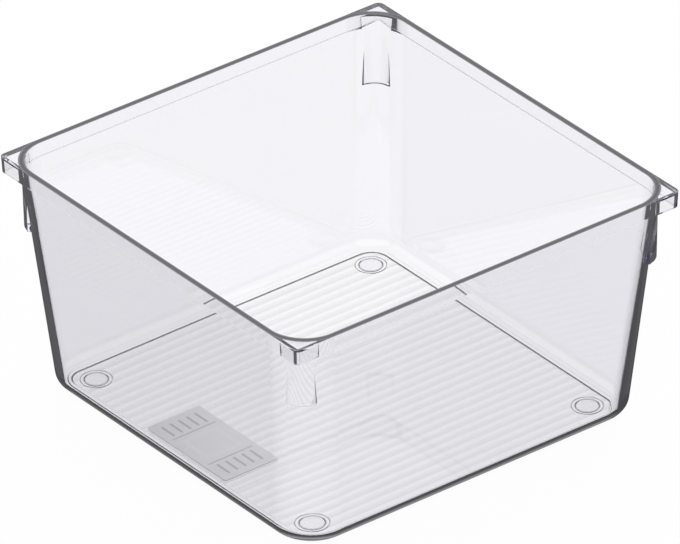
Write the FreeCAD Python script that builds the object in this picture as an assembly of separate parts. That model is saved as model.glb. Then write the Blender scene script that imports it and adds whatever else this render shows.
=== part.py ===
import FreeCAD, Part
import math
import os

# Drawer organizer bin: an open square bin of clear rigid plastic on four round pads.
# Row frame: +Z up, the origin in the middle of the base where the pads meet the shelf.
# The front, with the label beside it, faces -Y. All sizes are in millimetres.

V = FreeCAD.Vector

# Overall sizes
RIM_SIZE = 150.0                # side of the square rim, across its top edge
TOTAL_HEIGHT = 80.7             # from the pads' contact plane to the rim's top face

# Walls and floor
WALL_DRAFT = 5.2                # degrees that each wall's inner face leans in towards the floor
MOUTH_WALL = 1.4                # wall at the rim, measured level
BASE_WALL = 1.7                 # wall at the underside, measured level
FLOOR_THICKNESS = 1.6
OUTSIDE_CORNER_RADIUS = 14.1
MOUTH_CORNER_RADIUS = 13.0      # inside corner at the rim
BASE_CORNER_RADIUS = 13.6       # inside corner at the underside
INSIDE_FILLET = 3.4             # between floor and walls, inside
BASE_FILLET = 5.0               # along the base edge, outside

# Rim band and corner ears
RIM_WIDTH = 2.0                 # level top face of the rim
BAND_HEIGHT = 5.3
BAND_DRAFT = 2.5                # degrees that the band's outer face leans in going down
BAND_CORNER_RADIUS = 3.0
BAND_EDGE = 0.3                 # rounding of the band's lower edge
EAR_SKIRT = 1.2                 # ear's outer skirt, which closes two sides of its hollow
EAR_PLATE = 1.2                 # ear's top plate

# Nesting lugs, under the ears
LUG_RADIUS = 5.2
LUG_STAND = 2.1                 # how far the lug's end stands out of the corner
LUG_DRAFT = 1.3                 # degrees that the lug leans in going down
LUG_DEPTH = 24.4                # rim's top face down to the lug's end
LUG_EDGE = 0.4                  # rounding of the end's edge

# Bead round the ribbed field, under the floor
BEAD_INSET = 5.75               # base's side to the bead's centre line
BEAD_CORNER_RADIUS = 6.6
BEAD_RADIUS = 1.25
BEAD_DROP = 0.5                 # how far the bead stands down from the underside

# Ribs under the floor, along Y
RIB_PITCH = 4.0
RIB_DEPTH = 0.15
FIELD_MARGIN = 0.2              # from the bead's foot to the ribbed field

# Pads and their seats
PAD_RADIUS = 3.8
PAD_THICKNESS = 1.2
PAD_DROP = 0.9                  # how far the pad stands down from the underside
PAD_EDGE = 0.3                  # rounding of the pad's lower edge
PAD_CLEARANCE = 0.1             # all round the pad in its seat
PAD_INSET = 7.75                # bead's centre line to the pad's centre, along X and along Y
SEAT_WALL = 1.15                # ring round the pad
SEAT_DROP = 0.3                 # how far the ring stands down from the underside

# Label, on the floor
LABEL_LENGTH = 40.0
LABEL_WIDTH = 20.4
LABEL_THICKNESS = 0.25
LABEL_CORNER_RADIUS = 1.0
LABEL_INSET = 2.3               # front edge of the level floor to the label

# Heights and half sizes that follow
UNDERSIDE_Z = PAD_DROP
FLOOR_Z = UNDERSIDE_Z + FLOOR_THICKNESS
BAND_Z = TOTAL_HEIGHT - BAND_HEIGHT
LUG_Z = TOTAL_HEIGHT - LUG_DEPTH
RIM_HALF = RIM_SIZE / 2.0
WALL_SLOPE = math.tan(math.radians(WALL_DRAFT))
BAND_SLOPE = math.tan(math.radians(BAND_DRAFT))
LUG_SLOPE = math.tan(math.radians(LUG_DRAFT))

# Room that a cutting shape takes beyond the face it cuts, and the reach of an edge search
OVERSHOOT = 1.0
NEAR = 1e-4


def between(base_size, rim_size, z):
    """A size at height z that changes evenly from the underside to the rim."""
    share = (z - UNDERSIDE_Z) / (TOTAL_HEIGHT - UNDERSIDE_Z)
    return base_size + share * (rim_size - base_size)


def inside_half(z):
    """Half the width between the walls' inner faces at height z."""
    return RIM_HALF - RIM_WIDTH - (TOTAL_HEIGHT - z) * WALL_SLOPE


def inside_radius(z):
    """Radius of the inside corner at height z."""
    return between(BASE_CORNER_RADIUS, MOUTH_CORNER_RADIUS, z)


def outside_half(z):
    """Half the width across the walls' outer faces at height z."""
    return inside_half(z) + between(BASE_WALL, MOUTH_WALL, z)


def corner_reach(z):
    """Distance from the middle to the outside of a corner at height z, along the diagonal."""
    return math.sqrt(2.0) * (outside_half(z) - OUTSIDE_CORNER_RADIUS) + OUTSIDE_CORNER_RADIUS


def band_half(z):
    """Half the width across the rim band at height z."""
    return RIM_HALF - (TOTAL_HEIGHT - z) * BAND_SLOPE


BEAD_HALF = outside_half(UNDERSIDE_Z) - BEAD_INSET
PAD_PLACE = BEAD_HALF - PAD_INSET
SEAT_RADIUS = PAD_RADIUS + PAD_CLEARANCE + SEAT_WALL
LABEL_FRONT_Y = INSIDE_FILLET - inside_half(FLOOR_Z) + LABEL_INSET

CORNERS = {
    "front_left": (-1, -1),
    "front_right": (1, -1),
    "back_left": (-1, 1),
    "back_right": (1, 1),
}


def rounded_outline(half_x, half_y, radius, z, centre_y=0.0):
    """A level rectangle with rounded corners, as one closed wire."""
    diagonal = radius * math.sqrt(0.5)
    edges = []
    turns = ((1, -1), (1, 1), (-1, 1), (-1, -1))
    previous = V(-(half_x - radius), centre_y - half_y, z)
    for side_x, side_y in turns:
        arc_x = side_x * (half_x - radius)
        arc_y = centre_y + side_y * (half_y - radius)
        on_x = V(side_x * half_x, arc_y, z)
        on_y = V(arc_x, centre_y + side_y * half_y, z)
        middle = V(arc_x + side_x * diagonal, arc_y + side_y * diagonal, z)
        start, end = (on_y, on_x) if side_x * side_y < 0 else (on_x, on_y)
        edges.append(Part.makeLine(previous, start))
        edges.append(Part.Arc(start, middle, end).toShape())
        previous = end
    return Part.Wire(edges)


def tapered_block(low, high):
    """A solid between two square outlines, each given as (half, corner radius, height)."""
    outlines = [rounded_outline(half, half, radius, z) for half, radius, z in (low, high)]
    return Part.makeLoft(outlines, True, True)


def level_edges(solid, z):
    """The solid's edges that lie at height z."""
    return [edge for edge in solid.Edges
            if abs(edge.BoundBox.ZMin - z) < NEAR and abs(edge.BoundBox.ZMax - z) < NEAR]


def upright_prism(outline, height):
    """A solid that stands on a level outline."""
    return Part.Face(outline).extrude(V(0, 0, height))


def make_outer_walls():
    """The bin as a solid block: its outer faces, with the rounded base edge."""
    block = tapered_block(
        (outside_half(UNDERSIDE_Z), OUTSIDE_CORNER_RADIUS, UNDERSIDE_Z),
        (outside_half(TOTAL_HEIGHT), OUTSIDE_CORNER_RADIUS, TOTAL_HEIGHT))
    return block.makeFillet(BASE_FILLET, level_edges(block, UNDERSIDE_Z))


def make_cavity():
    """The space inside the bin, open at the top, with the rounded floor edge."""
    block = tapered_block(
        (inside_half(FLOOR_Z), inside_radius(FLOOR_Z), FLOOR_Z),
        (inside_half(TOTAL_HEIGHT), inside_radius(TOTAL_HEIGHT), TOTAL_HEIGHT))
    return block.makeFillet(INSIDE_FILLET, level_edges(block, FLOOR_Z))


def make_band(outer_walls):
    """The rim band with its four square ears, each hollow from below."""
    band = tapered_block(
        (band_half(BAND_Z), BAND_CORNER_RADIUS, BAND_Z),
        (band_half(TOTAL_HEIGHT), BAND_CORNER_RADIUS, TOTAL_HEIGHT))
    band = band.makeFillet(BAND_EDGE, level_edges(band, BAND_Z))
    low = BAND_Z - OVERSHOOT
    high = TOTAL_HEIGHT - EAR_PLATE
    hollow_radius = BAND_CORNER_RADIUS - EAR_SKIRT
    hollow = tapered_block(
        (band_half(low) - EAR_SKIRT, hollow_radius, low),
        (band_half(high) - EAR_SKIRT, hollow_radius, high))
    return band.cut(hollow.cut(outer_walls))


def make_lug(side_x, side_y):
    """One round nesting lug, sunk in the corner of the walls and fading out under its ear."""
    along = V(side_x, side_y, 0) * math.sqrt(0.5)
    rings = []
    for z in (LUG_Z, TOTAL_HEIGHT - EAR_PLATE):
        place = corner_reach(LUG_Z) + LUG_STAND - LUG_RADIUS + (z - LUG_Z) * LUG_SLOPE
        rings.append(Part.Wire(Part.makeCircle(LUG_RADIUS, along * place + V(0, 0, z))))
    lug = Part.makeLoft(rings, True, True)
    return lug.makeFillet(LUG_EDGE, level_edges(lug, LUG_Z))


def make_bead():
    """The bead under the floor, round the ribbed field."""
    z = UNDERSIDE_Z - BEAD_DROP + BEAD_RADIUS
    path = rounded_outline(BEAD_HALF, BEAD_HALF, BEAD_CORNER_RADIUS, z)
    ring = Part.makeCircle(BEAD_RADIUS, V(0, -BEAD_HALF, z), V(1, 0, 0))
    return path.makePipeShell([Part.Wire(ring)], True, False)


def make_seat_ring(side_x, side_y):
    """The disc that stands down round one pad, before its recess is cut."""
    base = V(side_x * PAD_PLACE, side_y * PAD_PLACE, UNDERSIDE_Z - SEAT_DROP)
    return Part.makeCylinder(SEAT_RADIUS, SEAT_DROP + FLOOR_THICKNESS / 2.0, base)


def make_seat_recess(side_x, side_y):
    """The round recess that holds one pad."""
    base = V(side_x * PAD_PLACE, side_y * PAD_PLACE, 0)
    return Part.makeCylinder(PAD_RADIUS + PAD_CLEARANCE, PAD_THICKNESS, base)


def label_outline(z):
    """The label's outline at height z."""
    centre_y = LABEL_FRONT_Y + LABEL_WIDTH / 2.0
    return rounded_outline(LABEL_LENGTH / 2.0, LABEL_WIDTH / 2.0, LABEL_CORNER_RADIUS, z, centre_y)


def make_grooves():
    """What the ribbed field leaves open under the floor: wave-shaped grooves along Y."""
    bead_rise = BEAD_RADIUS - BEAD_DROP
    bead_foot = math.sqrt(BEAD_RADIUS ** 2 - bead_rise ** 2)
    field_half = BEAD_HALF - bead_foot - FIELD_MARGIN
    field_corner = BEAD_CORNER_RADIUS - bead_foot - FIELD_MARGIN
    low = UNDERSIDE_Z - OVERSHOOT
    middle = UNDERSIDE_Z + RIB_DEPTH / 2.0
    quarter = RIB_PITCH / 4.0
    side_count = math.ceil(field_half / RIB_PITCH)
    first = -side_count * RIB_PITCH - quarter
    last = side_count * RIB_PITCH + quarter
    edges = []
    x = first
    rise = 1.0
    while x < last - NEAR:
        edges.append(Part.Arc(V(x, -field_half, middle),
                              V(x + quarter, -field_half, middle + rise * RIB_DEPTH / 2.0),
                              V(x + 2.0 * quarter, -field_half, middle)).toShape())
        x += 2.0 * quarter
        rise = -rise
    edges.append(Part.makeLine(V(x, -field_half, middle), V(x, -field_half, low)))
    edges.append(Part.makeLine(V(x, -field_half, low), V(first, -field_half, low)))
    edges.append(Part.makeLine(V(first, -field_half, low), V(first, -field_half, middle)))
    wave = Part.Face(Part.Wire(edges)).extrude(V(0, 2.0 * field_half, 0))
    field = upright_prism(rounded_outline(field_half, field_half, field_corner, low), 2.0 * OVERSHOOT)
    label_patch = upright_prism(label_outline(low), 2.0 * OVERSHOOT)
    seats = [make_seat_ring(side_x, side_y) for side_x, side_y in CORNERS.values()]
    seats += [make_seat_recess(side_x, side_y) for side_x, side_y in CORNERS.values()]
    return wave.common(field.cut([label_patch] + seats))


def make_bin_body():
    """The whole moulding: walls, rim, ears, lugs, floor, bead, ribs and pad seats."""
    outer_walls = make_outer_walls()
    added = [make_band(outer_walls), make_bead()]
    removed = [make_cavity(), make_grooves()]
    for side_x, side_y in CORNERS.values():
        added.append(make_lug(side_x, side_y))
        added.append(make_seat_ring(side_x, side_y))
        removed.append(make_seat_recess(side_x, side_y))
    body = outer_walls.fuse(added)
    return body.cut(removed).removeSplitter()


def make_pad(side_x, side_y):
    """One round pad, with a rounded lower edge."""
    pad = Part.makeCylinder(PAD_RADIUS, PAD_THICKNESS, V(side_x * PAD_PLACE, side_y * PAD_PLACE, 0))
    return pad.makeFillet(PAD_EDGE, level_edges(pad, 0.0))


def make_label():
    """The thin label on the floor, beside the front wall."""
    return upright_prism(label_outline(FLOOR_Z), LABEL_THICKNESS)


os.makedirs("parts", exist_ok=True)
make_bin_body().exportStep("parts/bin_body.step")
for name, (side_x, side_y) in CORNERS.items():
    make_pad(side_x, side_y).exportStep("parts/pad_" + name + ".step")
make_label().exportStep("parts/label.step")
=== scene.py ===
import logging
import math
from dataclasses import dataclass, field
from enum import Enum
from typing import Any, Iterable, Optional, Sequence, Union

import bmesh
import bpy
from mathutils import Matrix, Vector


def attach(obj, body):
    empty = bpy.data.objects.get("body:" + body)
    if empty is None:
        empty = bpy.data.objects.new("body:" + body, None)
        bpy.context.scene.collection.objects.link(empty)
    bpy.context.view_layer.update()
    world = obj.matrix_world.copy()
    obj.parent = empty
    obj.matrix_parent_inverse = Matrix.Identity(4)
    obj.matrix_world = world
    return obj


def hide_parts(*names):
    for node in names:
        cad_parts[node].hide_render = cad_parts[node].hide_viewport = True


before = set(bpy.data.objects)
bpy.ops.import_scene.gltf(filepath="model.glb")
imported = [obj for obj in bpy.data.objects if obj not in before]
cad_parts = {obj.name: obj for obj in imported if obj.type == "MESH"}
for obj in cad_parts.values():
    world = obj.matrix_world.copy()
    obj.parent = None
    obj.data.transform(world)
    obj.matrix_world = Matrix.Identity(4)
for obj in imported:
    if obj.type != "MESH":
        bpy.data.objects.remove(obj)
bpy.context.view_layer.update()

MM = 0.001
LOG = logging.getLogger("drawer_bin")
Number = Union[float, int]
Colour = tuple[float, float, float, float]


class Corner(Enum):
    """The bin's four corners, each with the sides of X and Y that it is on."""

    FRONT_LEFT = (-1, -1)
    FRONT_RIGHT = (1, -1)
    BACK_LEFT = (-1, 1)
    BACK_RIGHT = (1, 1)


class Join(Enum):
    """The ways in which two closed meshes are combined."""

    ADD = "UNION"
    CUT = "DIFFERENCE"
    KEEP = "INTERSECT"


# Shader maths


class Signal:
    """A number that varies over a surface. Arithmetic on it adds Math nodes."""

    def __init__(self, tree: "ShaderTree", socket: bpy.types.NodeSocket) -> None:
        """Wraps an output socket.

        Args:
            tree: the tree that the socket belongs to.
            socket: the output that carries the number.
        """
        self.tree = tree
        self.socket = socket

    def _math(self, operation: str, *operands: Union["Signal", Number]) -> "Signal":
        """Adds one Math node.

        Args:
            operation: the Math node's operation.
            operands: its operands, in order.

        Returns:
            The node's result.
        """
        values = dict(enumerate(operands))
        node = self.tree.node("ShaderNodeMath", {"operation": operation}, values)
        return Signal(self.tree, node.outputs[0])

    def __add__(self, other: Union["Signal", Number]) -> "Signal":
        """Sum."""
        return self._math("ADD", self, other)

    def __radd__(self, other: Number) -> "Signal":
        """Sum, with the number first."""
        return self._math("ADD", self, other)

    def __sub__(self, other: Union["Signal", Number]) -> "Signal":
        """Difference."""
        return self._math("SUBTRACT", self, other)

    def __rsub__(self, other: Number) -> "Signal":
        """Difference, with the number first."""
        return self._math("SUBTRACT", other, self)

    def __mul__(self, other: Union["Signal", Number]) -> "Signal":
        """Product."""
        return self._math("MULTIPLY", self, other)

    def __rmul__(self, other: Number) -> "Signal":
        """Product, with the number first."""
        return self._math("MULTIPLY", self, other)

    def __truediv__(self, other: Union["Signal", Number]) -> "Signal":
        """Quotient."""
        return self._math("DIVIDE", self, other)

    def __abs__(self) -> "Signal":
        """Size without sign."""
        return self._math("ABSOLUTE", self)

    def above(self, other: Union["Signal", Number]) -> "Signal":
        """One where this is greater, else zero."""
        return self._math("GREATER_THAN", self, other)

    def below(self, other: Union["Signal", Number]) -> "Signal":
        """One where this is less, else zero."""
        return self._math("LESS_THAN", self, other)

    def at_least(self, count: int) -> "Signal":
        """One where this whole number is the count or more, else zero."""
        return self.above(count - 0.5)

    def at_most(self, count: int) -> "Signal":
        """One where this whole number is the count or less, else zero."""
        return self.below(count + 0.5)

    def wrapped(self, low: Number, high: Number) -> "Signal":
        """The number brought into a range by whole steps."""
        return self._math("WRAP", self, high, low)

    def largest(self, other: Union["Signal", Number]) -> "Signal":
        """The larger of two numbers."""
        return self._math("MAXIMUM", self, other)

    def smallest(self, other: Union["Signal", Number]) -> "Signal":
        """The smaller of two numbers."""
        return self._math("MINIMUM", self, other)

    def clamped(self) -> "Signal":
        """The number held between zero and one."""
        return self.largest(0.0).smallest(1.0)

    def root(self) -> "Signal":
        """Square root."""
        return self._math("SQRT", self)

    def cosine(self) -> "Signal":
        """Cosine of an angle in radians."""
        return self._math("COSINE", self)


class ShaderTree:
    """A material's or a world's nodes, cleared and built up again."""

    # The Mix node's numbers for its two colour inputs and its colour output
    FIRST_COLOUR, SECOND_COLOUR, MIXED_COLOUR = 6, 7, 2

    def __init__(self, nodes: bpy.types.NodeTree) -> None:
        """Clears a node tree.

        Args:
            nodes: the tree of a material or a world.
        """
        self.tree = nodes
        self.tree.nodes.clear()

    def node(self, kind: str, settings: Optional[dict[str, Any]] = None,
             values: Optional[dict[Union[int, str], Any]] = None) -> bpy.types.Node:
        """Adds a node, sets it up and feeds its inputs.

        Args:
            kind: the node's type.
            settings: its own settings, which are set first.
            values: for each input, by number or name, a value or the output that feeds it.

        Returns:
            The node.
        """
        made = self.tree.nodes.new(kind)
        for name, setting in (settings or {}).items():
            setattr(made, name, setting)
        for name, value in (values or {}).items():
            entry = made.inputs[name]
            if isinstance(value, Signal):
                self.tree.links.new(value.socket, entry)
            elif isinstance(value, bpy.types.NodeSocket):
                self.tree.links.new(value, entry)
            else:
                entry.default_value = value
        return made

    def place(self) -> tuple[Signal, Signal, Signal]:
        """The three parts of the place on the object, in metres."""
        coordinates = self.node("ShaderNodeTexCoord").outputs["Object"]
        split = self.node("ShaderNodeSeparateXYZ", None, {0: coordinates})
        return (Signal(self, split.outputs[0]), Signal(self, split.outputs[1]),
                Signal(self, split.outputs[2]))

    def past_square(self, half: float, corner: float) -> Signal:
        """How far a place lies outside a level square with rounded corners.

        Args:
            half: half the square's width, in millimetres.
            corner: its corner radius.

        Returns:
            The distance in millimetres, below zero inside.
        """
        x, y, _ = self.place()
        past_x = abs(x) / MM - (half - corner)
        past_y = abs(y) / MM - (half - corner)
        round_x = past_x.largest(0.0)
        round_y = past_y.largest(0.0)
        turned = (round_x * round_x + round_y * round_y).root()
        return turned + past_x.largest(past_y).smallest(0.0) - corner

    def noise(self, scale: float, detail: float = 2.0, roughness: float = 0.5) -> Signal:
        """A soft random pattern on the object.

        Args:
            scale: its fineness, in waves a metre.
            detail: its number of finer layers.
            roughness: how strong the finer layers are.

        Returns:
            The pattern, about 0.5 on average.
        """
        coordinates = self.node("ShaderNodeTexCoord").outputs["Object"]
        pattern = self.node("ShaderNodeTexNoise", None,
                            {"Vector": coordinates, "Scale": scale, "Detail": detail,
                             "Roughness": roughness})
        return Signal(self, pattern.outputs[0])

    def blend(self, share: Union[Signal, float], first: Any, second: Any) -> bpy.types.NodeSocket:
        """Mixes two colours.

        Args:
            share: how much of the second there is.
            first: a colour, or an output that carries one.
            second: the same.

        Returns:
            The mixed colour.
        """
        mix = self.node("ShaderNodeMix", {"data_type": "RGBA"},
                        {0: share, self.FIRST_COLOUR: first, self.SECOND_COLOUR: second})
        return mix.outputs[self.MIXED_COLOUR]

    def mix(self, share: Union[Signal, float], first: bpy.types.Node,
            second: bpy.types.Node) -> bpy.types.Node:
        """Mixes two shaders.

        Args:
            share: how much of the second there is.
            first: a shader's node.
            second: the same.

        Returns:
            The mixing node.
        """
        return self.node("ShaderNodeMixShader", None,
                         {0: share, 1: first.outputs[0], 2: second.outputs[0]})

    def bump(self, height: Signal, distance: float, strength: float) -> bpy.types.NodeSocket:
        """Turns a height into a surface direction.

        Args:
            height: the height pattern.
            distance: the depth that one unit of height stands for, in metres.
            strength: the share of the effect.

        Returns:
            The direction.
        """
        bump = self.node("ShaderNodeBump", None,
                         {"Strength": strength, "Distance": distance, "Height": height})
        return bump.outputs[0]


def colour(red: float, green: float, blue: float) -> Colour:
    """A plain colour with full alpha."""
    return (red, green, blue, 1.0)


def new_material(name: str) -> tuple[bpy.types.Material, ShaderTree]:
    """Makes a material without nodes.

    Args:
        name: its name.

    Returns:
        The material and its cleared tree.
    """
    made = bpy.data.materials.new(name)
    made.use_nodes = True
    return made, ShaderTree(made.node_tree)


# Finishes

# A fine noise's number of finer layers, and how strong they are
FINE = (3.0, 0.6)


@dataclass(frozen=True)
class ClearPlastic:
    """Polished clear rigid plastic, with the faint waviness and scuffs of a moulding. Its rim's top
    face, the ribs' crests and the seats' rings carry painted shade, and after many mirrorings it
    glows a flat grey.
    """

    body: "BinBody"
    tint: Colour = colour(0.987, 0.983, 0.999)
    deep_tint: Colour = colour(0.975, 0.971, 0.996)
    tint_scale: float = 30.0
    floor_tint: Colour = colour(1.0, 1.0, 1.0)
    floor_top: float = 2.6
    refraction: float = 1.59
    wave_scale: float = 45.0
    wave_depth: float = 0.00002
    wave_strength: float = 0.5
    scuff_scale: float = 420.0
    scuff_level: float = 0.62
    scuff_gain: float = 2.0
    polished: float = 0.012
    scuffed: float = 0.03
    absorption: Colour = colour(0.80, 0.795, 0.95)
    density: float = 22.0
    # Painted shade: the rim's top face is an opaque grey band, darkest along its middle
    painted_rim_core: Colour = colour(0.06, 0.06, 0.066)
    painted_rim_side: Colour = colour(0.22, 0.22, 0.24)
    edge_roughness: float = 0.12
    painted_rim_share: float = 0.95
    edge_skin: float = 0.02
    # Painted shade: after this many mirrorings the plastic glows this flat grey instead of being
    # traced on
    painted_trapped_grey: Colour = colour(0.11, 0.11, 0.115)
    trapped_from: int = 4
    # Painted shade on the crests of the ribs under the floor
    rib_painted_shade: Colour = colour(0.82, 0.82, 0.84)
    rib_top: float = 1.15
    field_half: float = 60.4
    field_corner: float = 5.4
    pad_place: float = 53.94
    # Painted shade on the round edges of the pads' seats
    ring_painted_shade: Colour = colour(0.20, 0.20, 0.215)
    ring_width: float = 0.4
    ring_top: float = 1.25

    def material(self) -> bpy.types.Material:
        """Builds the material.

        Returns:
            The material.
        """
        made, tree = new_material("clear_plastic_bin")
        waves = tree.noise(self.wave_scale, detail=1.0)
        scuffs = (tree.noise(self.scuff_scale, *FINE) - self.scuff_level) * self.scuff_gain
        roughness = self.polished + scuffs.clamped() * self.scuffed
        shader = tree.node("ShaderNodeBsdfPrincipled", None, {
            "Base Color": self._tone(tree),
            "Roughness": roughness,
            "IOR": self.refraction,
            "Transmission Weight": 1.0,
            "Normal": tree.bump(waves, self.wave_depth, self.wave_strength),
        })
        # Painted shade: most of the rim's top face is an opaque grey band, darkest along its middle
        # and lighter at its two edges, standing in for the dark lines that the clear rim shows
        past = tree.past_square(self.body.mouth_half, self.body.mouth_corner)
        middle = abs(past / (self.body.rim_width / 2.0) - 1.0).clamped()
        edge = tree.node("ShaderNodeBsdfPrincipled", None, {
            "Base Color": tree.blend(middle * middle, self.painted_rim_core, self.painted_rim_side),
            "Roughness": roughness + self.edge_roughness,
            "IOR": self.refraction,
        })
        top = tree.place()[2].above((self.body.rim_z - self.edge_skin) * MM)
        rim = top * past.below(self.body.rim_width) * self.painted_rim_share
        finished = tree.mix(rim, shader, edge)
        # Painted shade: from trapped_from mirrorings on, the plastic stops tracing and glows a flat
        # dark grey
        mirrorings = Signal(tree, tree.node("ShaderNodeLightPath").outputs["Glossy Depth"])
        lost = mirrorings.at_least(self.trapped_from)
        faint = tree.node("ShaderNodeEmission", None, {"Color": self.painted_trapped_grey})
        finished = tree.mix(lost, finished, faint)
        absorb = tree.node("ShaderNodeVolumeAbsorption", None,
                           {"Color": self.absorption, "Density": self.density})
        tree.node("ShaderNodeOutputMaterial", None,
                  {"Surface": finished.outputs[0], "Volume": absorb.outputs[0]})
        return made

    def _tone(self, tree: ShaderTree) -> bpy.types.NodeSocket:
        """The plastic's colour, with the floor, and painted shade along the seats' rings and the
        ribs' crests.

        Args:
            tree: the tree that takes the nodes.

        Returns:
            The colour.
        """
        tint_and_shade = tree.blend(tree.noise(self.tint_scale), self.tint, self.deep_tint)
        level = tree.place()[2].below(self.floor_top * MM)
        tint_and_shade = tree.blend(level, tint_and_shade, self.floor_tint)
        tint_and_shade = tree.blend(self._painted_ring_shade(tree), tint_and_shade, self.ring_painted_shade)
        return tree.blend(self._painted_rib_shade(tree), tint_and_shade, self.rib_painted_shade)

    def _from_pad(self, tree: ShaderTree) -> Signal:
        """How far a place is from the nearest pad's axis.

        Args:
            tree: the tree that takes the nodes.

        Returns:
            The distance in millimetres.
        """
        x, y, _ = tree.place()
        from_x = abs(x) / MM - self.pad_place
        from_y = abs(y) / MM - self.pad_place
        return (from_x * from_x + from_y * from_y).root()

    def _painted_ring_shade(self, tree: ShaderTree) -> Signal:
        """Painted shade along the two round edges of each pad's seat.

        Args:
            tree: the tree that takes the nodes.

        Returns:
            One on an edge, falling to zero beside it and above the seat.
        """
        reach = self._from_pad(tree)
        inner = 1.0 - abs(reach - self.body.recess_radius) / self.ring_width
        outer = 1.0 - abs(reach - self.body.seat_radius) / self.ring_width
        return inner.largest(outer).clamped() * tree.place()[2].below(self.ring_top * MM)

    def _painted_rib_shade(self, tree: ShaderTree) -> Signal:
        """Painted shade along the crests of the ribs under the floor.

        Args:
            tree: the tree that takes the nodes.

        Returns:
            One along each rib's crest, falling to zero between ribs and off the field.
        """
        x, _, z = tree.place()
        wave = 0.5 - 0.5 * (x * (2.0 * math.pi / (self.body.rib_pitch * MM))).cosine()
        off_seat = self._from_pad(tree).above(self.body.seat_radius)
        on_field = tree.past_square(self.field_half, self.field_corner).below(0.0)
        return wave * off_seat * on_field * z.below(self.rib_top * MM)


@dataclass(frozen=True)
class SiliconePad:
    """Clear soft silicone with a faintly cloudy skin."""

    tint: Colour = colour(0.98, 0.98, 0.99)
    cloudy: Colour = colour(0.93, 0.93, 0.95)
    refraction: float = 1.41
    clear_roughness: float = 0.02
    cloudy_roughness: float = 0.05
    cloud_scale: float = 500.0
    grain_scale: float = 2600.0
    grain_depth: float = 0.000004
    grain_strength: float = 0.3

    def material(self) -> bpy.types.Material:
        """Builds the material.

        Returns:
            The material.
        """
        made, tree = new_material("silicone_pad")
        grain = tree.noise(self.grain_scale, *FINE)
        cloud = tree.noise(self.cloud_scale)
        shader = tree.node("ShaderNodeBsdfPrincipled", None, {
            "Base Color": tree.blend(cloud, self.tint, self.cloudy),
            "Roughness": self.clear_roughness + cloud * self.cloudy_roughness,
            "IOR": self.refraction,
            "Transmission Weight": 1.0,
            "Normal": tree.bump(grain, self.grain_depth, self.grain_strength),
        })
        tree.node("ShaderNodeOutputMaterial", None, {"Surface": shader.outputs[0]})
        return made


@dataclass(frozen=True)
class LabelFilm:
    """Frosted grey film, printed with a frame, a pale blank field and ruled lines."""

    centre_y: float
    film: Colour = colour(0.96, 0.96, 0.98)
    speckle: Colour = colour(0.91, 0.91, 0.93)
    ink: Colour = colour(0.61, 0.61, 0.635)
    pale: Colour = colour(0.98, 0.98, 0.99)
    refraction: float = 1.5
    smooth_roughness: float = 0.42
    grain_roughness: float = 0.15
    grain_scale: float = 1500.0
    grain_depth: float = 0.00002
    grain_strength: float = 0.3
    field_half: float = 7.0
    field_line: float = 1.6
    upright_x: float = 9.2
    upright_half: float = 0.25
    upright_reach: float = 8.4
    column_x: float = 14.0
    column_half: float = 3.2
    column_reach: float = 7.6
    rule_spacing: float = 3.2
    rule_half: float = 0.42

    def material(self) -> bpy.types.Material:
        """Builds the material.

        Returns:
            The material.
        """
        made, tree = new_material("label_film")
        x, y, _ = tree.place()
        across = x / MM
        along = y / MM - self.centre_y
        pale = self._frame(across, along)
        ink = self._rules(across, along)
        grain = tree.noise(self.grain_scale, *FINE)
        mottled = tree.blend(grain, self.film, self.speckle)
        printed = tree.blend(ink, mottled, self.ink)
        finished = tree.blend(pale, printed, self.pale)
        shader = tree.node("ShaderNodeBsdfPrincipled", None, {
            "Base Color": finished,
            "Roughness": self.smooth_roughness + grain * self.grain_roughness,
            "IOR": self.refraction,
            "Normal": tree.bump(grain, self.grain_depth, self.grain_strength),
        })
        tree.node("ShaderNodeOutputMaterial", None, {"Surface": shader.outputs[0]})
        return made

    def _frame(self, across: Signal, along: Signal) -> Signal:
        """The outline of the square blank field.

        Args:
            across: place along the label, in millimetres from its middle.
            along: place across the label.

        Returns:
            One on the outline, else zero.
        """
        inside = self.field_half - self.field_line
        outer = abs(across).below(self.field_half) * abs(along).below(self.field_half)
        inner = abs(across).below(inside) * abs(along).below(inside)
        return outer - inner

    def _rules(self, across: Signal, along: Signal) -> Signal:
        """The ruled lines to each side of the blank field, and the two upright ones.

        Args:
            across: place along the label, in millimetres from its middle.
            along: place across the label.

        Returns:
            One on a line, else zero.
        """
        upright = (abs(abs(across) - self.upright_x).below(self.upright_half)
                   * abs(along).below(self.upright_reach))
        column = (abs(abs(across) - self.column_x).below(self.column_half)
                  * abs(along).below(self.column_reach))
        wrapped = along.wrapped(-self.rule_spacing / 2.0, self.rule_spacing / 2.0)
        return upright.largest(column * abs(wrapped).below(self.rule_half))


# Mesh making


@dataclass(frozen=True)
class Section:
    """One level rounded rectangle of a lofted form, in millimetres."""

    half_x: float
    half_y: float
    radius: float
    z: float
    centre_y: float = 0.0


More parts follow.
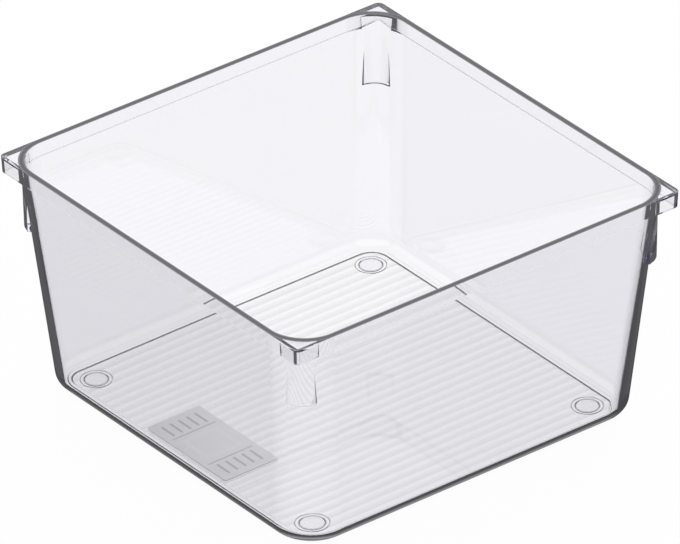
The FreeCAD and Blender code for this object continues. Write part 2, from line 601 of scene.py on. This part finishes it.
class Workshop:
    """Makes and combines closed meshes with bmesh operators."""

    AXIS_MERGE = 0.001
    FLAT_DEGREES = 1.0
    DISC_STEPS = 64
    EDGE_STEPS = 4
    NORMAL_WEIGHT = 50

    def __init__(self, arc_steps: int = 20, merge: float = 0.0004) -> None:
        """Sets how finely corners are divided.

        Args:
            arc_steps: segments in each rounded corner.
            merge: how near to each other points of a finished piece become one, in millimetres.
        """
        self.arc_steps = arc_steps
        self.merge = merge

    def outline(self, form: bmesh.types.BMesh, section: Section) -> tuple[Any, list[Any]]:
        """Adds one level rounded rectangle.

        Args:
            form: the mesh that takes it.
            section: its sizes.

        Returns:
            Its face and its edges.
        """
        grid = bmesh.ops.create_grid(form, x_segments=1, y_segments=1, size=1.0)
        corners = grid["verts"]
        size = Vector((section.half_x, section.half_y, 1.0)) * MM
        bmesh.ops.scale(form, vec=size, verts=corners)
        place = Vector((0.0, section.centre_y, section.z)) * MM
        bmesh.ops.translate(form, vec=place, verts=corners)
        rounded = bmesh.ops.bevel(form, geom=corners, offset=section.radius * MM,
                                  offset_type="OFFSET", segments=self.arc_steps, profile=0.5,
                                  affect="VERTICES", material=-1)
        face = rounded["verts"][0].link_faces[0]
        return face, list(face.edges)

    def loft(self, sections: Sequence[Section], ring: bool = False) -> bmesh.types.BMesh:
        """Joins level outlines into one closed form.

        Args:
            sections: the outlines, in order round or up the form.
            ring: True if the last joins the first, as round a bead.

        Returns:
            The form.
        """
        form = bmesh.new()
        outlines = [self.outline(form, section) for section in sections]
        capped = () if ring else (outlines[0][0], outlines[-1][0])
        spare = [face for face, _ in outlines if face not in capped]
        bmesh.ops.delete(form, geom=spare, context="FACES_ONLY")
        pairs = list(zip(outlines, outlines[1:]))
        if ring:
            pairs.append((outlines[-1], outlines[0]))
        for (_, low), (_, high) in pairs:
            bmesh.ops.bridge_loops(form, edges=low + high)
        bmesh.ops.recalc_face_normals(form, faces=form.faces[:])
        return form

    def disc(self, centre: tuple[float, float], radius: float, low: float, high: float,
             edge: float = 0.0) -> bmesh.types.BMesh:
        """Turns a profile round an upright axis into a closed disc.

        Args:
            centre: the axis's X and Y, in millimetres.
            radius: the disc's radius.
            low: its lower face.
            high: its upper face.
            edge: the radius of its lower edge, or zero for a sharp one.

        Returns:
            The disc.
        """
        profile = [(0.0, low)]
        for step in range(self.EDGE_STEPS + 1 if edge else 1):
            angle = math.pi / 2.0 * step / self.EDGE_STEPS
            profile.append((radius - edge + edge * math.sin(angle),
                            low + edge - edge * math.cos(angle)))
        profile += [(radius, high), (0.0, high)]
        form = bmesh.new()
        points = [form.verts.new(Vector((reach, 0.0, z)) * MM) for reach, z in profile]
        lines = [form.edges.new(pair) for pair in zip(points, points[1:])]
        bmesh.ops.spin(form, geom=points + lines, cent=(0.0, 0.0, 0.0), axis=(0.0, 0.0, 1.0),
                       angle=2.0 * math.pi, steps=self.DISC_STEPS, use_merge=True)
        bmesh.ops.remove_doubles(form, verts=form.verts[:], dist=self.AXIS_MERGE * MM)
        bmesh.ops.dissolve_limit(form, angle_limit=math.radians(self.FLAT_DEGREES),
                                 verts=form.verts[:], edges=form.edges[:])
        bmesh.ops.recalc_face_normals(form, faces=form.faces[:])
        bmesh.ops.translate(form, vec=Vector((*centre, 0.0)) * MM, verts=form.verts[:])
        return form

    @staticmethod
    def piece(form: bmesh.types.BMesh, name: str) -> bpy.types.Object:
        """Turns a form into an object at the origin.

        Args:
            form: the form, which is freed.
            name: the object's name.

        Returns:
            The object.
        """
        mesh = bpy.data.meshes.new(name)
        form.to_mesh(mesh)
        form.free()
        made = bpy.data.objects.new(name, mesh)
        bpy.context.scene.collection.objects.link(made)
        return made

    @staticmethod
    def settle(piece: bpy.types.Object) -> None:
        """Applies a piece's modifiers to its mesh.

        Args:
            piece: the piece.
        """
        graph = bpy.context.evaluated_depsgraph_get()
        mesh = bpy.data.meshes.new_from_object(piece.evaluated_get(graph))
        piece.modifiers.clear()
        worn = piece.data
        piece.data = mesh
        bpy.data.meshes.remove(worn)

    def combine(self, piece: bpy.types.Object, tool: bpy.types.Object, join: Join) -> None:
        """Adds or cuts one closed mesh, and removes the tool.

        Args:
            piece: the mesh that is changed.
            tool: the other mesh.
            join: how they combine.
        """
        modifier = piece.modifiers.new(join.name, "BOOLEAN")
        modifier.object = tool
        modifier.operation = join.value
        modifier.solver = "MANIFOLD"
        self.settle(piece)
        mesh = tool.data
        bpy.data.objects.remove(tool)
        bpy.data.meshes.remove(mesh)

    def smooth(self, piece: bpy.types.Object, sharp_degrees: float = 28.0) -> None:
        """Merges points that all but coincide, shades curves smooth and keeps flat faces flat.

        Args:
            piece: the piece.
            sharp_degrees: edges that turn by more stay sharp.
        """
        form = bmesh.new()
        form.from_mesh(piece.data)
        bmesh.ops.remove_doubles(form, verts=form.verts[:], dist=self.merge * MM)
        form.to_mesh(piece.data)
        form.free()
        piece.data.shade_smooth()
        piece.data.set_sharp_from_angle(angle=math.radians(sharp_degrees))
        weighted = piece.modifiers.new("even", "WEIGHTED_NORMAL")
        weighted.mode = "FACE_AREA"
        weighted.weight = self.NORMAL_WEIGHT
        weighted.keep_sharp = True
        self.settle(piece)


# The object's parts


@dataclass
class BinBody:
    """The one-piece clear moulding: walls, rim band, ears, lugs, floor, bead, ribs and seats."""

    rim_half: float = 75.0
    rim_z: float = 80.7
    underside_z: float = 0.9
    floor_z: float = 2.5
    wall_slope: float = math.tan(math.radians(5.2))
    mouth_wall: float = 1.4
    base_wall: float = 1.7
    rim_width: float = 2.0
    outer_corner: float = 14.1
    mouth_corner: float = 13.0
    base_corner: float = 13.6
    inside_fillet: float = 3.4
    base_fillet: float = 5.0
    band_height: float = 5.3
    band_slope: float = math.tan(math.radians(2.5))
    band_corner: float = 2.0
    band_edge: float = 0.08
    hollow_reach: float = 9.2
    skirt: float = 1.6
    plate: float = 1.2
    lug_radius: float = 7.0
    lug_half: float = 4.7
    lug_top_half: float = 4.0
    lug_side_edge: float = 1.5
    lug_stand: float = 2.1
    lug_slope: float = math.tan(math.radians(1.3))
    lug_depth: float = 24.4
    lug_edge: float = 0.6
    lug_sunk: float = 0.7
    lug_side_slack: float = 0.01
    lug_foot_slack: float = 0.001
    bead_inset: float = 5.75
    bead_corner: float = 6.6
    bead_radius: float = 1.25
    bead_drop: float = 0.5
    rib_pitch: float = 4.0
    rib_depth: float = 0.08
    rib_lift: float = 0.004
    field_margin: float = 0.2
    pad_inset: float = 7.75
    seat_radius: float = 5.05
    seat_drop: float = 0.3
    seat_edge: float = 0.2
    seat_sunk: float = 0.8
    recess_radius: float = 3.9
    recess_top: float = 1.2
    overcut: float = 1.0
    tool_corner: float = 0.5
    fillet_steps: int = 8
    lug_steps: int = 24
    lug_side_steps: int = 6
    lug_edge_steps: int = 3
    bead_steps: int = 16
    wave_steps: int = 10
    workshop: Workshop = field(default_factory=Workshop)

    def between(self, base_size: float, rim_size: float, z: float) -> float:
        """A size at a height that changes evenly from the underside to the rim."""
        share = (z - self.underside_z) / (self.rim_z - self.underside_z)
        return base_size + share * (rim_size - base_size)

    def wall_half(self, outside: bool, z: float) -> float:
        """Half the width between the walls' inner faces, or across their outer ones."""
        half = self.mouth_half - (self.rim_z - z) * self.wall_slope
        return half + self.between(self.base_wall, self.mouth_wall, z) if outside else half

    def wall_corner(self, outside: bool, z: float) -> float:
        """Corner radius of the walls' inner faces, or of their outer ones."""
        inside = self.between(self.base_corner, self.mouth_corner, z)
        return self.outer_corner if outside else inside

    def band_half(self, z: float) -> float:
        """Half the width across the rim band's outer faces at a height."""
        return self.rim_half - (self.rim_z - z) * self.band_slope

    @property
    def mouth_half(self) -> float:
        """Half the width of the mouth at the rim."""
        return self.rim_half - self.rim_width

    @property
    def bead_half(self) -> float:
        """Half the width across the bead's centre line."""
        return self.wall_half(True, self.underside_z) - self.bead_inset

    @property
    def pad_place(self) -> float:
        """X and Y of each pad's centre."""
        return self.bead_half - self.pad_inset

    def rounded_foot(self, half: float, corner: float, z: float, fillet: float,
                     lean: float) -> list[Section]:
        """The outlines of a block's rounded lower edge.

        Args:
            half: half the block's width at its lower face, before rounding.
            corner: its corner radius there.
            z: the lower face.
            fillet: the radius of the edge.
            lean: how far the block's sides lean out going up, in radians.

        Returns:
            The outlines, from the lowest.
        """
        reach = fillet * math.tan(math.pi / 4.0 - lean / 2.0)
        sections = []
        for step in range(self.fillet_steps + 1):
            angle = (math.pi / 2.0 - lean) * step / self.fillet_steps
            inset = reach - fillet * math.sin(angle)
            sections.append(Section(half - inset, half - inset, corner - inset,
                                    z + fillet * (1.0 - math.cos(angle))))
        return sections

    def wall_sections(self, outside: bool, low: float, high: float, fillet: float) -> list[Section]:
        """The outlines of the walls as a block with a rounded lower edge.

        Args:
            outside: True for the outer faces, False for the inner ones.
            low: the block's lower face.
            high: its upper face.
            fillet: the radius of its lower edge.

        Returns:
            The outlines, from the lowest.
        """
        base, top = (self.wall_half(outside, z) for z in (low, high))
        lean = math.atan((top - base) / (high - low))
        sections = self.rounded_foot(base, self.wall_corner(outside, low), low, fillet, lean)
        return sections + [Section(top, top, self.wall_corner(outside, high), high)]

    def band_form(self) -> bpy.types.Object:
        """The square rim band with its four ears, hollow from below."""
        low = self.rim_z - self.band_height
        sections = self.rounded_foot(self.band_half(low), self.band_corner, low, self.band_edge,
                                     math.atan(self.band_slope))
        sections.append(Section(self.rim_half, self.rim_half, self.band_corner, self.rim_z))
        band = self.workshop.piece(self.workshop.loft(sections), "bin_body_clear")
        hollow = self.workshop.loft([
            Section(self.band_half(z) - self.skirt, self.band_half(z) - self.skirt,
                    self.band_corner - self.skirt, z)
            for z in (low - 2.0 * self.overcut, self.rim_z - self.plate)])
        hollow = self.workshop.piece(hollow, "hollow")
        near, far = self.rim_half - self.hollow_reach, self.rim_half + 2.0 * self.overcut
        for half_x, half_y in ((near, far), (far, near)):
            between = self.workshop.loft([Section(half_x, half_y, self.tool_corner, z)
                                          for z in (low - 3.0 * self.overcut, self.rim_z)])
            self.workshop.combine(hollow, self.workshop.piece(between, "between"), Join.CUT)
        self.workshop.combine(band, hollow, Join.CUT)
        return band

    def lug_block(self, height: float) -> bmesh.types.BMesh:
        """A lug's plain block at the origin. Its round front faces +X and leans out going up.

        Args:
            height: the block's height.

        Returns:
            The block.
        """
        swing = math.asin(self.lug_half / self.lug_radius)
        form = bmesh.new()
        front = Vector((self.lug_radius * MM, 0.0, 0.0))
        start = form.verts.new(Matrix.Rotation(-swing, 3, "Z") @ front)
        bmesh.ops.spin(form, geom=[start], cent=(0.0, 0.0, 0.0), axis=(0.0, 0.0, 1.0),
                       angle=2.0 * swing, steps=self.lug_steps)
        curve = sorted(form.verts, key=lambda vert: vert.co.y)
        back = [form.verts.new((0.0, vert.co.y, 0.0)) for vert in (curve[-1], curve[0])]
        end = form.faces.new(curve + back)
        raised = bmesh.ops.extrude_face_region(form, geom=[end])
        for vert in (item for item in raised["geom"] if isinstance(item, bmesh.types.BMVert)):
            vert.co += Vector((height * self.lug_slope, 0.0, height)) * MM
        return form

    def round_lug(self, form: bmesh.types.BMesh) -> None:
        """Rounds a block's two upright edges beside its front, and then its lower front edge.

        Args:
            form: the block, which is changed.
        """
        side_y = (self.lug_half - self.lug_side_slack) * MM
        front_x = self.lug_half * MM
        sides = [edge for edge in form.edges
                 if edge.verts[0].co.z != edge.verts[1].co.z
                 and all(abs(vert.co.y) > side_y and vert.co.x > front_x for vert in edge.verts)]
        bmesh.ops.bevel(form, geom=sides, offset=self.lug_side_edge * MM, offset_type="OFFSET",
                        segments=self.lug_side_steps, profile=0.5, affect="EDGES", material=-1)
        foot = [edge for edge in form.edges
                if all(vert.co.z < self.lug_foot_slack * MM for vert in edge.verts)
                and max(vert.co.x for vert in edge.verts) > front_x]
        bmesh.ops.bevel(form, geom=foot, offset=self.lug_edge * MM, offset_type="OFFSET",
                        segments=self.lug_edge_steps, profile=0.5, affect="EDGES", material=-1)
        bmesh.ops.recalc_face_normals(form, faces=form.faces[:])

    def lug_form(self, corner: Corner) -> bmesh.types.BMesh:
        """One nesting lug under an ear, a little narrower at its top.

        Args:
            corner: the ear's corner.

        Returns:
            The lug.
        """
        low = self.rim_z - self.lug_depth
        height = self.lug_depth - self.plate * self.lug_sunk
        reach = (math.sqrt(2.0) * (self.wall_half(True, low) - self.outer_corner)
                 + self.outer_corner + self.lug_stand)
        form = self.lug_block(height)
        self.round_lug(form)
        for vert in form.verts:
            share = vert.co.z / (height * MM)
            vert.co.y *= 1.0 + share * (self.lug_top_half / self.lug_half - 1.0)
        place = Vector((reach - self.lug_radius, 0.0, low)) * MM
        bmesh.ops.translate(form, vec=place, verts=form.verts[:])
        side_x, side_y = corner.value
        turn = Matrix.Rotation(math.atan2(side_y, side_x), 3, "Z")
        bmesh.ops.transform(form, matrix=turn.to_4x4(), verts=form.verts[:])
        return form

    def bead_form(self) -> bmesh.types.BMesh:
        """The bead round the ribbed field."""
        middle = self.underside_z - self.bead_drop + self.bead_radius
        sections = []
        for step in range(self.bead_steps):
            angle = 2.0 * math.pi * step / self.bead_steps
            out = self.bead_radius * math.cos(angle)
            half = self.bead_half + out
            sections.append(Section(half, half, self.bead_corner + out,
                                    middle + self.bead_radius * math.sin(angle)))
        return self.workshop.loft(sections, ring=True)

    def seat_form(self, corner: Corner, radius: float, low: float, high: float,
                  edge: float = 0.0) -> bmesh.types.BMesh:
        """A round disc at one pad's seat.

        Args:
            corner: the pad's corner.
            radius: the disc's radius.
            low: its lower face.
            high: its upper face.
            edge: the radius of its lower edge.

        Returns:
            The disc.
        """
        side_x, side_y = corner.value
        centre = (side_x * self.pad_place, side_y * self.pad_place)
        return self.workshop.disc(centre, radius, low, high, edge)

    def groove_form(self, label: Section) -> bpy.types.Object:
        """The wave-shaped grooves under the floor, as a cutting tool.

        Args:
            label: the outline under which the floor stays flat.

        Returns:
            The tool.
        """
        rise = self.bead_radius - self.bead_drop
        foot = math.sqrt(self.bead_radius ** 2 - rise ** 2)
        half = self.bead_half - foot - self.field_margin
        corner = self.bead_corner - foot - self.field_margin
        waves = math.ceil(half / self.rib_pitch)
        low = self.underside_z - self.overcut
        form = bmesh.new()
        bmesh.ops.create_grid(form, x_segments=2 * waves * self.wave_steps, y_segments=1, size=1.0)
        size = Vector((waves * self.rib_pitch, half + self.overcut, 1.0)) * MM
        bmesh.ops.scale(form, vec=size, verts=form.verts[:])
        for vert in form.verts:
            phase = 2.0 * math.pi * vert.co.x / (self.rib_pitch * MM)
            wave = self.rib_lift + self.rib_depth * (0.5 + 0.5 * math.cos(phase))
            vert.co.z = (self.underside_z + wave) * MM
        under = bmesh.ops.extrude_face_region(form, geom=form.faces[:])
        for vert in [item for item in under["geom"] if isinstance(item, bmesh.types.BMVert)]:
            vert.co.z = low * MM
        bmesh.ops.recalc_face_normals(form, faces=form.faces[:])
        tool = self.workshop.piece(form, "grooves")
        edge = self.workshop.loft([Section(half, half, corner, z)
                                   for z in (low - self.overcut / 2.0,
                                             self.underside_z + self.overcut)])
        self.workshop.combine(tool, self.workshop.piece(edge, "edge"), Join.KEEP)
        deep, high = low - self.overcut, self.underside_z + 1.5 * self.overcut
        patch = self.workshop.loft([
            Section(label.half_x, label.half_y, label.radius, z, label.centre_y)
            for z in (deep, high)])
        self.workshop.combine(tool, self.workshop.piece(patch, "patch"), Join.CUT)
        for place in Corner:
            seat = self.seat_form(place, self.seat_radius, deep, high)
            self.workshop.combine(tool, self.workshop.piece(seat, "seat"), Join.CUT)
        return tool

    def build(self, label: Section) -> bpy.types.Object:
        """Makes the moulding.

        Args:
            label: the outline of the label's flat patch under the floor.

        Returns:
            The piece.
        """
        shop = self.workshop
        body = self.band_form()
        outer = shop.loft(self.wall_sections(True, self.underside_z,
                                             self.rim_z - self.plate / 2.0, self.base_fillet))
        shop.combine(body, shop.piece(outer, "outer"), Join.ADD)
        for corner in Corner:
            shop.combine(body, shop.piece(self.lug_form(corner), "lug"), Join.ADD)
        shop.combine(body, shop.piece(self.bead_form(), "bead"), Join.ADD)
        for corner in Corner:
            ring = self.seat_form(corner, self.seat_radius, self.underside_z - self.seat_drop,
                                  self.underside_z + self.seat_sunk, self.seat_edge)
            shop.combine(body, shop.piece(ring, "ring"), Join.ADD)
        cavity = shop.loft(self.wall_sections(False, self.floor_z, self.rim_z + self.overcut,
                                              self.inside_fillet))
        shop.combine(body, shop.piece(cavity, "cavity"), Join.CUT)
        shop.combine(body, self.groove_form(label), Join.CUT)
        for corner in Corner:
            recess = self.seat_form(corner, self.recess_radius, -self.overcut, self.recess_top)
            shop.combine(body, shop.piece(recess, "recess"), Join.CUT)
        shop.smooth(body)
        return body


@dataclass
class FootPad:
    """One clear flat non-slip pad with a rounded lower edge."""

    corner: Corner
    place: float
    radius: float = 3.8
    thickness: float = 1.18
    edge: float = 0.5
    sharp_degrees: float = 40.0
    workshop: Workshop = field(default_factory=Workshop)

    def build(self) -> bpy.types.Object:
        """Makes the pad.

        Returns:
            The piece.
        """
        side_x, side_y = self.corner.value
        centre = (side_x * self.place, side_y * self.place)
        form = self.workshop.disc(centre, self.radius, 0.0, self.thickness, self.edge)
        pad = self.workshop.piece(form, "pad_" + self.corner.name.lower() + "_clear")
        self.workshop.smooth(pad, self.sharp_degrees)
        return pad


@dataclass
class FloorLabel:
    """The thin printed film on the floor beside the front wall."""

    length: float = 40.0
    width: float = 20.4
    thickness: float = 0.25
    corner: float = 1.0
    centre_y: float = -49.983
    floor_z: float = 2.5
    workshop: Workshop = field(default_factory=lambda: Workshop(6))

    def outline(self, z: float) -> Section:
        """The label's outline at a height."""
        return Section(self.length / 2.0, self.width / 2.0, self.corner, z, self.centre_y)

    def build(self) -> bpy.types.Object:
        """Makes the label.

        Returns:
            The piece.
        """
        form = self.workshop.loft([self.outline(self.floor_z),
                                   self.outline(self.floor_z + self.thickness)])
        label = self.workshop.piece(form, "label_film_printed")
        self.workshop.smooth(label)
        return label


# Studio


@dataclass(frozen=True)
class Lamp:
    """A square soft lamp that faces the bin. It isn't seen mirrored or through clear plastic."""

    name: str
    place: tuple[float, float, float]
    power: float
    size: float
    aim_z: float = 0.04

    def build(self) -> None:
        """Adds the lamp."""
        light = bpy.data.lights.new(self.name, "AREA")
        light.energy = self.power
        light.size = self.size
        made = bpy.data.objects.new(self.name, light)
        toward = Vector((0.0, 0.0, self.aim_z)) - Vector(self.place)
        turn = toward.to_track_quat("-Z", "Y").to_matrix().to_4x4()
        made.matrix_world = Matrix.Translation(self.place) @ turn
        made.visible_glossy = False
        made.visible_transmission = False
        bpy.context.scene.collection.objects.link(made)


@dataclass(frozen=True)
class PhotoCamera:
    """The camera at the photograph's viewing angle."""

    turn: float = 52.310
    tilt: float = 31.195
    roll: float = -0.752
    distance: float = 4.663
    shift_x: float = 0.000537
    shift_y: float = -0.037003
    raise_z: float = 0.00188
    focal_pixels: float = 14987.1
    picture_pixels: float = 680.0
    sensor_width: float = 36.0
    clip_end: float = 50.0

    def build(self) -> None:
        """Adds the camera and makes it the scene's."""
        turn, tilt, roll = (math.radians(angle) for angle in (self.turn, self.tilt, self.roll))
        back = Vector((math.sin(turn) * math.cos(tilt), -math.cos(turn) * math.cos(tilt),
                       math.sin(tilt)))
        level = Vector((math.cos(turn), math.sin(turn), 0.0))
        upward = back.cross(level)
        right = level * math.cos(roll) + upward * math.sin(roll)
        above = upward * math.cos(roll) - level * math.sin(roll)
        place = (back * self.distance - right * self.shift_x - above * self.shift_y
                 + Vector((0.0, 0.0, self.raise_z)))
        data = bpy.data.cameras.new("photo_camera")
        data.sensor_width = self.sensor_width
        data.lens = self.focal_pixels / self.picture_pixels * data.sensor_width
        data.clip_end = self.clip_end
        made = bpy.data.objects.new("photo_camera", data)
        made.matrix_world = Matrix((
            (right.x, above.x, back.x, place.x),
            (right.y, above.y, back.y, place.y),
            (right.z, above.z, back.z, place.z),
            (0.0, 0.0, 0.0, 1.0)))
        bpy.context.scene.collection.objects.link(made)
        bpy.context.scene.camera = made


@dataclass
class Studio:
    """Floor, lamps, world and camera."""

    lamps: tuple[Lamp, ...] = (Lamp("key_lamp", (-0.9, 1.1, 1.6), 14.0, 1.2),
                               Lamp("fill_lamp", (1.2, -1.0, 1.5), 6.0, 1.4))
    camera: PhotoCamera = PhotoCamera()
    white: Colour = colour(1.0, 1.0, 1.0)
    paper: Colour = colour(0.9, 0.9, 0.9)
    paper_glow: float = 0.96
    sky: Colour = colour(0.8, 0.8, 0.8)
    high_start: float = 0.15
    high_rate: float = 4.0
    deep_from: int = 4
    floor_size: float = 6.0
    floor_z: float = -0.00005
    # Painted reflection tones that the floor shows only in mirrors; the dim one is also the world's
    # upper tone after two or more mirrorings
    painted_mirror_dark: Colour = colour(0.065, 0.065, 0.068)
    low_sky: Colour = colour(0.16, 0.16, 0.165)
    painted_base_ring: Colour = colour(0.36, 0.36, 0.365)
    painted_mirror_haze: Colour = colour(0.20, 0.20, 0.205)
    painted_mirror_sheen: Colour = colour(0.95, 0.935, 1.0)
    overhead: Colour = colour(0.97, 0.97, 0.99)
    painted_far_tone: Colour = colour(0.72, 0.71, 0.86)
    footprint: float = 58.0
    base_half: float = 63.4
    base_corner: float = 10.0
    contact_fade: float = 2.0
    haze_start: float = 60.0
    haze_depth: float = 200.0
    distant_start: float = 180.0
    distant_depth: float = 260.0

    def floor(self) -> bpy.types.Object:
        """Makes the pale floor.

        Returns:
            The floor.
        """
        form = bmesh.new()
        bmesh.ops.create_grid(form, x_segments=1, y_segments=1, size=self.floor_size / 2.0)
        bmesh.ops.translate(form, vec=(0.0, 0.0, self.floor_z), verts=form.verts[:])
        made = Workshop.piece(form, "studio_floor")
        made.data.materials.append(self.floor_material())
        return made

    def floor_material(self) -> bpy.types.Material:
        """Builds white paper that keeps a faint shadow and looks white through clear plastic. In
        mirrors it shows painted reflection tones instead: grey at the bin's base, dark beyond, then
        dim and pale lavender further out, and a pale painted sheen under the bin.

        Returns:
            The material.
        """
        made, tree = new_material("studio_floor")
        path = tree.node("ShaderNodeLightPath")
        seen = self._seen_straight(tree, path)
        paper = tree.node("ShaderNodeBsdfDiffuse", None, {"Color": self.paper})
        white = tree.node("ShaderNodeEmission", None, {"Color": self.white})
        # Painted reflection, seen only in mirrors: grey at the bin's base, dark just beyond, fading
        # to dim grey and then pale lavender further out
        past = tree.past_square(self.base_half, self.base_corner)
        outside = tree.blend((past / self.contact_fade).clamped(), self.painted_base_ring, self.painted_mirror_dark)
        away = ((past - self.haze_start) / self.haze_depth).clamped()
        outside = tree.blend(away, outside, self.painted_mirror_haze)
        away = ((past - self.distant_start) / self.distant_depth).clamped()
        outside = tree.blend(away, outside, self.painted_far_tone)
        # Painted sheen, in mirrors, where a once-mirrored ray also passed through the plastic under
        # the bin or through four or more of its surfaces
        under = tree.past_square(self.footprint, 0.0).below(0.0)
        deep = Signal(tree, path.outputs["Transmission Depth"]).at_least(self.deep_from)
        pale = self._mirrored_inside(tree, path) * under.largest(deep)
        mirrored = tree.blend(pale, outside, self.painted_mirror_sheen)
        dim = tree.node("ShaderNodeEmission", None, {"Color": mirrored})
        backdrop = tree.mix(self.paper_glow, paper, white)
        glossy = Signal(tree, path.outputs["Is Glossy Ray"])
        indirect = tree.mix(glossy, paper, dim)
        shown = tree.mix(seen, indirect, backdrop)
        tree.node("ShaderNodeOutputMaterial", None, {"Surface": shown.outputs[0]})
        return made

    @staticmethod
    def _seen_straight(tree: ShaderTree, path: bpy.types.Node) -> Signal:
        """One for what the camera sees directly or straight through clear plastic.

        Args:
            tree: the tree that takes the nodes.
            path: its Light Path node.

        Returns:
            The mask.
        """
        camera = Signal(tree, path.outputs["Is Camera Ray"])
        through = Signal(tree, path.outputs["Is Transmission Ray"])
        bounced = Signal(tree, path.outputs["Glossy Depth"]).at_least(1)
        return camera.largest(through * (1.0 - bounced))

    @staticmethod
    def _mirrored_inside(tree: ShaderTree, path: bpy.types.Node) -> Signal:
        """One for what is mirrored once and also seen through clear plastic.

        Args:
            tree: the tree that takes the nodes.
            path: its Light Path node.

        Returns:
            The mask.
        """
        once = Signal(tree, path.outputs["Glossy Depth"]).at_most(1)
        through = Signal(tree, path.outputs["Transmission Depth"]).at_least(2)
        return once * through

    def world(self) -> None:
        """Sets a world that looks white. Plastic mirrors its top as pale and its sides as dim."""
        made = bpy.data.worlds.new("studio_world")
        bpy.context.scene.world = made
        made.use_nodes = True
        tree = ShaderTree(made.node_tree)
        path = tree.node("ShaderNodeLightPath")
        seen = self._seen_straight(tree, path)
        glossy = Signal(tree, path.outputs["Is Glossy Ray"])
        once = Signal(tree, path.outputs["Glossy Depth"]).at_most(1)
        high = ((tree.place()[2] - self.high_start) * self.high_rate).clamped()
        ceiling = tree.blend(once, self.painted_mirror_haze, self.overhead)
        mirrored = tree.blend(high, self.low_sky, ceiling)
        even = tree.blend(glossy, self.sky, mirrored)
        shown = tree.blend(seen, even, self.white)
        back = tree.node("ShaderNodeBackground", None, {"Color": shown, "Strength": 1.0})
        tree.node("ShaderNodeOutputWorld", None, {"Surface": back.outputs[0]})

    def build(self) -> None:
        """Sets the whole studio."""
        self.floor()
        self.world()
        for lamp in self.lamps:
            lamp.build()
        self.camera.build()
        bpy.context.scene.view_settings.view_transform = "Standard"


def dress(piece: bpy.types.Object, material: bpy.types.Material,
          nodes: Iterable[str]) -> None:
    """Gives a piece its finish and its place in the frame.

    Args:
        piece: the piece.
        material: its material.
        nodes: the CAD nodes that it stands for.
    """
    piece.data.materials.clear()
    piece.data.materials.append(material)
    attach(piece, "root")
    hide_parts(*nodes)
    LOG.info("%s: %d faces", piece.name, len(piece.data.polygons))


def main() -> None:
    """Builds the studio and the bin, and reports each piece."""
    logging.basicConfig(level=logging.INFO, format="%(message)s")
    Studio().build()
    label = FloorLabel()
    body = BinBody()
    plastic = ClearPlastic(body).material()
    dress(body.build(label.outline(0.0)), plastic, ["bin_body"])
    silicone = SiliconePad().material()
    for corner in Corner:
        pad = FootPad(corner, body.pad_place)
        dress(pad.build(), silicone, ["pad_" + corner.name.lower()])
    film = LabelFilm(label.centre_y).material()
    dress(label.build(), film, ["label"])
    bpy.context.view_layer.update()


if __name__ == "__main__":
    main()
